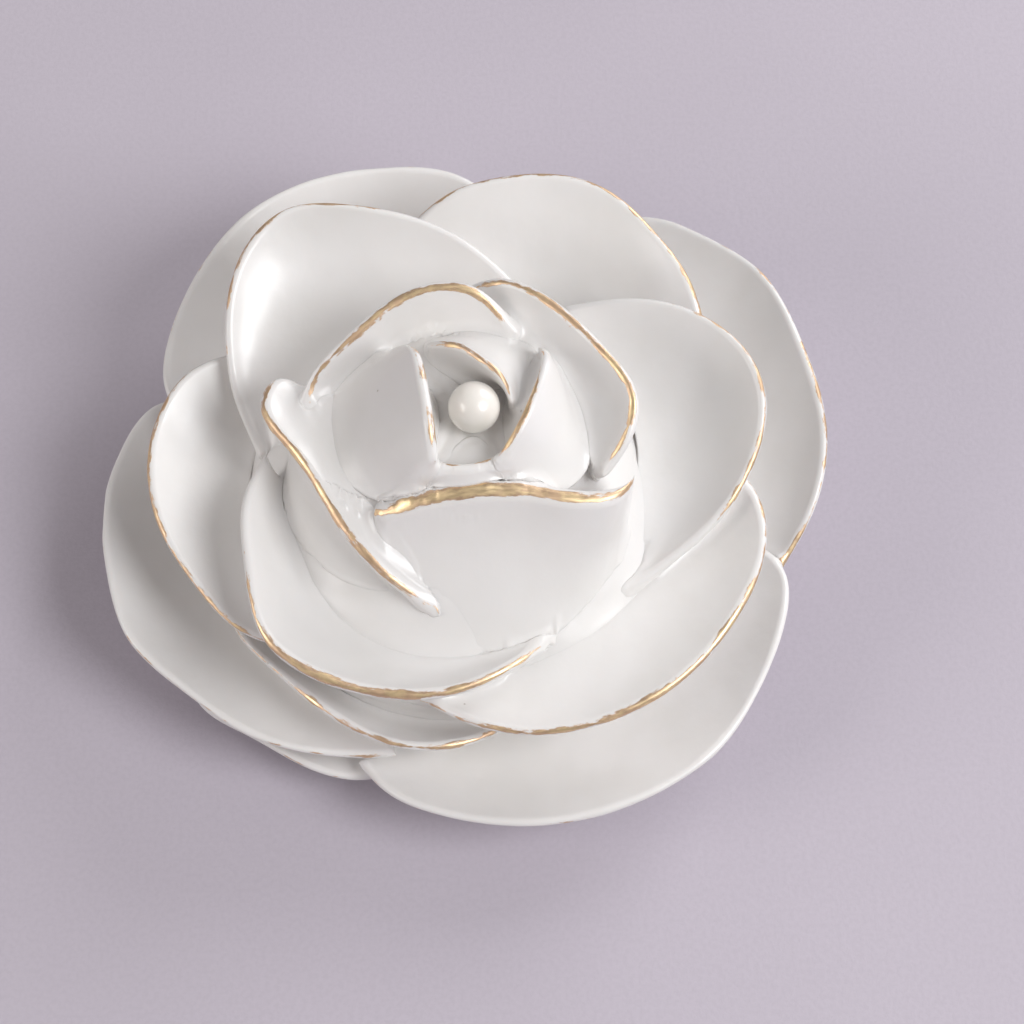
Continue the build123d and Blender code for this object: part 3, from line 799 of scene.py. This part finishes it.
def pearl_finish(settings):
    """Nacre: rosy and greenish drift under a satin skin with fine growth ripples."""
    material, w, shader, place = start_material("pearl_nacre")
    shader.inputs["Coat Roughness"].default_value = 0.12
    shader.inputs["Coat IOR"].default_value = 1.6
    shader.inputs["Subsurface Weight"].default_value = 0.05
    shader.inputs["Subsurface Radius"].default_value = (1.0, 0.8, 0.7)
    shader.inputs["Subsurface Scale"].default_value = 0.0012
    shader.inputs["Sheen Weight"].default_value = 0.15
    drift = w.between(w.speckle(place, 160.0, 1.0), 0.35, 0.65)
    base = w.mix(drift, colour_of(settings.pearl), (0.80, 0.78, 0.71, 1))
    blush = w.between(w.speckle(place, 210.0, 1.0), 0.5, 0.75)
    w.feed(shader, "Base Color", w.mix(w.sum("MULTIPLY", blush, 0.3), base, (0.86, 0.76, 0.72, 1)))
    ripple = w.speckle(place, 1400.0, 3.0)
    w.feed(shader, "Roughness", w.between(ripple, 0.3, 0.7, 0.3, 0.36))
    w.feed(shader, "Metallic", w.between(drift, 0.0, 1.0, 0.05, 0.1))
    w.feed(shader, "Coat Weight", w.between(drift, 0.0, 1.0, 0.6, 0.85))
    bump(w, shader, ripple, 0.000008)
    return material


def brass_finish():
    """Drawn brass wire with lengthwise draw marks and slight tarnish."""
    material, w, shader, place = start_material("drawn_brass")
    stretched = w.add("ShaderNodeMapping", Vector=place)
    stretched.inputs["Scale"].default_value = (1.0, 1.0, 0.08)
    marks = w.speckle(stretched.outputs["Vector"], 9000.0, 3.0, 0.6)
    tarnish = w.between(w.speckle(place, 900.0, 3.0), 0.45, 0.7)
    w.feed(shader, "Base Color", w.mix(tarnish, (0.80, 0.60, 0.28, 1), (0.48, 0.33, 0.16, 1)))
    w.feed(shader, "Metallic", w.between(tarnish, 0.0, 1.0, 1.0, 0.85))
    w.feed(shader, "Roughness", w.sum("ADD", w.between(marks, 0.3, 0.7, 0.22, 0.38),
                                      w.sum("MULTIPLY", tarnish, 0.2)))
    bump(w, shader, marks, 0.00002)
    return material


def table_finish(settings):
    """Matt painted table top with a fine even grain."""
    material, w, shader, place = start_material("matt_table")
    shader.inputs["Specular IOR Level"].default_value = 0.25
    grain = w.speckle(place, 1400.0, 3.0, 0.6)
    slow = w.between(w.speckle(place, 14.0, 2.0), 0.3, 0.7)
    tone = colour_of(settings.table)
    low = colour_of([value * 0.96 for value in settings.table])
    colour = w.mix(slow, tone, low)
    colour = w.mix(w.between(grain, 0.35, 0.7, 0.0, 0.22), colour,
                   colour_of([value * 0.8 for value in settings.table]))
    w.feed(shader, "Base Color", colour)
    w.feed(shader, "Roughness", w.between(grain, 0.3, 0.7, 0.75, 0.9))
    bump(w, shader, grain, 0.00005)
    return material


def dress(piece, material, body, slot, *nodes):
    """Puts a finish on a piece, ties it to the body it rides on, and hides the nodes it stands for."""
    piece.data.materials.clear()
    piece.data.materials.append(material)
    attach(piece, body)
    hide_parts(*nodes)


# ================================================================== settings
class ROSEBOX_settings(bpy.types.PropertyGroup):
    porcelain: FloatVectorProperty(
        name="Porcelain", description="Colour of the white glaze", subtype="COLOR", size=3,
        default=(0.80, 0.78, 0.765), min=0.0, max=1.0)
    porcelain_cloud: FloatVectorProperty(
        name="Clouding", description="Colour the glaze drifts to in soft clouds", subtype="COLOR", size=3,
        default=(0.76, 0.74, 0.715), min=0.0, max=1.0)
    gold: FloatVectorProperty(
        name="Gold", description="Colour of the gilding where it is thick", subtype="COLOR", size=3,
        default=(0.97, 0.75, 0.45), min=0.0, max=1.0)
    worn_gold: FloatVectorProperty(
        name="Worn Gold", description="Colour of the gilding where it is thin or rubbed", subtype="COLOR",
        size=3, default=(0.66, 0.45, 0.31), min=0.0, max=1.0)
    pearl: FloatVectorProperty(
        name="Pearl", description="Main colour of the pearl", subtype="COLOR", size=3,
        default=(0.88, 0.84, 0.78), min=0.0, max=1.0)
    table: FloatVectorProperty(
        name="Table", description="Colour of the table top under the box", subtype="COLOR", size=3,
        default=(0.52, 0.475, 0.535), min=0.0, max=1.0)
    glaze_coat: FloatProperty(
        name="Glaze Gloss", description="Strength of the clear glassy layer over the porcelain",
        default=0.45, min=0.0, max=1.0, subtype="FACTOR")
    translucence: FloatProperty(
        name="Translucence", description="How much light sinks into the porcelain", default=0.12,
        min=0.0, max=1.0, subtype="FACTOR")
    crease_fill: FloatProperty(
        name="Crease Fill", description="Width over which slip and glaze soften a crease", default=0.0024,
        min=0.0, max=0.005, unit="LENGTH")
    unevenness: FloatProperty(
        name="Hand Unevenness", description="Depth of the waves left by hand forming", default=0.00014,
        min=0.0, max=0.0006, unit="LENGTH")
    key_power: FloatProperty(
        name="Key Light", description="Power of the large soft light", default=5.5, min=0.0, unit="POWER")
    side_power: FloatProperty(
        name="Side Light", description="Power of the soft light beside the key", default=3.5, min=0.0,
        unit="POWER")
    fill_power: FloatProperty(
        name="Fill Light", description="Power of the weak light on the shaded side", default=2.4, min=0.0,
        unit="POWER")
    sky: FloatProperty(
        name="Room Light", description="Brightness of the room all round", default=0.3, min=0.0)


# ================================================================== operators
class RosePart:
    """Shared by the operators that make pieces of the box."""

    bl_options = {"REGISTER", "UNDO"}

    def petals(self, context, shapes):
        settings = context.scene.rose_box
        for number, (name, shape) in enumerate(shapes.items()):
            petal = make_petal(name, shape)
            hand_form(petal, settings.unevenness, SWELL_SIZE, number + len(name))


class ROSEBOX_OT_bowl(RosePart, bpy.types.Operator):
    """Turns the bowl with its standing ring"""
    bl_idname = "rosebox.bowl"
    bl_label = "Bowl"

    def execute(self, context):
        outline = turned_outline([(True, BOWL_OUTSIDE), (True, BOWL_INSIDE), (False, [(0, 4.2), (0, 1.4)]),
                                  (False, BOWL_UNDERSIDE), (False, [(23.5, 0), (26.4, 0)])])
        turn_piece("base_bowl_glazed", outline, 0.00035)
        return {"FINISHED"}


class ROSEBOX_OT_dome(RosePart, bpy.types.Operator):
    """Turns the dome of the lid with the flange that drops into the bowl"""
    bl_idname = "rosebox.dome"
    bl_label = "Lid Dome"

    def execute(self, context):
        outline = turned_outline([(True, DOME_OUTSIDE), (False, [(0, 40.2), (0, 36.6)]), (True, DOME_INSIDE),
                                  (False, DOME_FLANGE), (False, [(30.5, 17.2), (33.9, 17.2)])])
        turn_piece("lid_dome_glazed", outline, 0.00025)
        return {"FINISHED"}


class ROSEBOX_OT_base_petals(RosePart, bpy.types.Operator):
    """Presses the spreading petals of the base"""
    bl_idname = "rosebox.base_petals"
    bl_label = "Base Petals"

    def execute(self, context):
        self.petals(context, BASE_PETALS)
        return {"FINISHED"}


class ROSEBOX_OT_lid_petals(RosePart, bpy.types.Operator):
    """Presses the spreading petals of the lid"""
    bl_idname = "rosebox.lid_petals"
    bl_label = "Lid Petals"

    def execute(self, context):
        self.petals(context, LID_PETALS)
        return {"FINISHED"}


class ROSEBOX_OT_inner_petals(RosePart, bpy.types.Operator):
    """Presses the upright petals round the bud"""
    bl_idname = "rosebox.inner_petals"
    bl_label = "Inner Petals"

    def execute(self, context):
        self.petals(context, INNER_PETALS)
        return {"FINISHED"}


class ROSEBOX_OT_bud(RosePart, bpy.types.Operator):
    """Presses the four folded petals of the bud"""
    bl_idname = "rosebox.bud"
    bl_label = "Bud"

    def execute(self, context):
        self.petals(context, BUD_PETALS)
        return {"FINISHED"}


class ROSEBOX_OT_pearl(RosePart, bpy.types.Operator):
    """Sets the pearl, a little out of round, with the drilled flat it is glued down by"""
    bl_idname = "rosebox.pearl"
    bl_label = "Pearl"

    def execute(self, context):
        deselect_all()
        bpy.ops.mesh.primitive_uv_sphere_add(segments=48, ring_count=24, radius=PEARL_RADIUS,
                                             location=PEARL_CENTRE)
        pearl = context.object
        pearl.name = pearl.data.name = "pearl_nacre"
        bpy.ops.object.transform_apply(location=True, rotation=True, scale=True)
        lowest = PEARL_CENTRE.z - PEARL_FLAT
        for vertex in pearl.data.vertices:
            away = vertex.co - PEARL_CENTRE
            vertex.co += away.normalized() * (0.04 * MM * noise.noise(vertex.co / 0.005))
            vertex.co.z = max(vertex.co.z, lowest)
        close_and_face_out()
        apply_modifier(pearl, "SUBSURF", levels=1, render_levels=1)
        only(pearl)
        bpy.ops.object.shade_smooth()
        return {"FINISHED"}


class ROSEBOX_OT_luting(RosePart, bpy.types.Operator):
    """Joins the pieces of each body with slip, softening the creases between them"""
    bl_idname = "rosebox.luting"
    bl_label = "Join With Slip"

    def execute(self, context):
        softness = context.scene.rose_box.crease_fill
        for core, groups in (("base_bowl_glazed", (BASE_PETALS,)),
                             ("lid_dome_glazed", (LID_PETALS, INNER_PETALS, BUD_PETALS))):
            pieces = [bpy.data.objects[core]]
            pieces += [bpy.data.objects[name + "_glazed"] for group in groups for name in group]
            lute_together(pieces, softness)
            keep_in_box(pieces[0])
            for piece in pieces[1:]:
                apply_modifier(piece, "SUBSURF", levels=1, render_levels=1)
                keep_in_box(piece)
                only(piece)
                bpy.ops.object.shade_smooth()
        return {"FINISHED"}


class ROSEBOX_OT_finishes(RosePart, bpy.types.Operator):
    """Glazes and gilds every piece and hands it to the body it rides on"""
    bl_idname = "rosebox.finishes"
    bl_label = "Glaze And Gild"

    def execute(self, context):
        settings = context.scene.rose_box
        build_glaze_group()
        build_gilding_group()
        gilded, bare = petal_finish(settings), vessel_finish(settings)
        objects = bpy.data.objects
        dress(objects["base_bowl_glazed"], bare, "base", "glazed_porcelain", "base_bowl")
        dress(objects["lid_dome_glazed"], bare, "lid", "glazed_porcelain", "lid_dome")
        for name in BASE_PETALS:
            dress(objects[name + "_glazed"], gilded, "base", "glazed_porcelain", name)
        for group in (LID_PETALS, INNER_PETALS, BUD_PETALS):
            for name in group:
                dress(objects[name + "_glazed"], gilded, "lid", "glazed_porcelain", name)
        dress(objects["pearl_nacre"], pearl_finish(settings), "lid", "pearl", "pearl")
        peg = frame["nodes"]["pearl_peg"]
        brass = brass_finish()
        for slot in peg.material_slots:
            slot.material = brass
        return {"FINISHED"}


class ROSEBOX_OT_stage(bpy.types.Operator):
    """Lays the table, hangs the lights and sets the camera"""
    bl_idname = "rosebox.stage"
    bl_label = "Stage"

    def execute(self, context):
        settings = context.scene.rose_box
        deselect_all()
        bpy.ops.mesh.primitive_plane_add(size=3.0, location=(0, 0, CAD_BOX[0][2] - 0.00002))
        floor = context.object
        floor.name = floor.data.name = "table_top"
        bpy.ops.object.transform_apply(location=True)
        floor.data.materials.append(table_finish(settings))

        def soft_light(name, place, aim, size, power, tint):
            lamp = bpy.data.lights.new(name, "AREA")
            lamp.shape, lamp.size, lamp.energy, lamp.color = "DISK", size, power, tint
            holder = bpy.data.objects.new(name, lamp)
            context.scene.collection.objects.link(holder)
            holder.location = place
            holder.rotation_euler = (Vector(aim) - Vector(place)).to_track_quat("-Z", "Y").to_euler()

        aim = (0, 0, 0.02)
        soft_light("key_light", (0.577, -0.269, 0.636), aim, 0.5, settings.key_power, (0.975, 0.985, 1.0))
        soft_light("side_light", (0.551, 0.551, 0.45), aim, 0.5, settings.side_power, (0.98, 0.985, 1.0))
        soft_light("fill_light", (-0.732, -0.267, 0.45), aim, 0.5, settings.fill_power, (1.0, 0.97, 0.95))
        world = bpy.data.worlds.new("room")
        world.use_nodes = True
        world.node_tree.nodes["Background"].inputs["Color"].default_value = (1.0, 0.965, 0.965, 1)
        world.node_tree.nodes["Background"].inputs["Strength"].default_value = settings.sky
        context.scene.world = world
        context.scene.view_settings.view_transform = "Standard"

        camera = bpy.data.cameras.new("camera")
        camera.lens, camera.sensor_width = 100.0, 36.0
        camera.clip_start, camera.clip_end = 0.01, 10.0
        eye = bpy.data.objects.new("camera", camera)
        context.scene.collection.objects.link(eye)
        slope = math.radians(CAMERA_SLOPE)
        look = Vector((0, math.cos(slope), -math.sin(slope)))
        eye.location = CAMERA_TARGET - look * CAMERA_REACH
        eye.rotation_euler = look.to_track_quat("-Z", "Y").to_euler()
        context.scene.camera = eye
        return {"FINISHED"}


class ROSEBOX_PT_panel(bpy.types.Panel):
    bl_idname = "ROSEBOX_PT_panel"
    bl_label = "Porcelain Rose Box"
    bl_space_type = "VIEW_3D"
    bl_region_type = "UI"
    bl_category = "Rose Box"

    def draw(self, context):
        settings = context.scene.rose_box
        for name in settings.bl_rna.properties.keys():
            if name not in {"rna_type", "name"}:
                self.layout.prop(settings, name)
        for step in STEPS:
            self.layout.operator(step.bl_idname)


STEPS = (ROSEBOX_OT_bowl, ROSEBOX_OT_dome, ROSEBOX_OT_base_petals, ROSEBOX_OT_lid_petals,
         ROSEBOX_OT_inner_petals, ROSEBOX_OT_bud, ROSEBOX_OT_pearl, ROSEBOX_OT_luting,
         ROSEBOX_OT_finishes, ROSEBOX_OT_stage)
CLASSES = (ROSEBOX_settings,) + STEPS + (ROSEBOX_PT_panel,)


def register():
    for item in CLASSES:
        bpy.utils.register_class(item)
    bpy.types.Scene.rose_box = PointerProperty(type=ROSEBOX_settings)


def unregister():
    del bpy.types.Scene.rose_box
    for item in reversed(CLASSES):
        bpy.utils.unregister_class(item)


def main():
    register()
    bpy.ops.rosebox.bowl()
    bpy.ops.rosebox.dome()
    bpy.ops.rosebox.base_petals()
    bpy.ops.rosebox.lid_petals()
    bpy.ops.rosebox.inner_petals()
    bpy.ops.rosebox.bud()
    bpy.ops.rosebox.pearl()
    bpy.ops.rosebox.luting()
    bpy.ops.rosebox.finishes()
    bpy.ops.rosebox.stage()


if __name__ == "__main__":
    main()
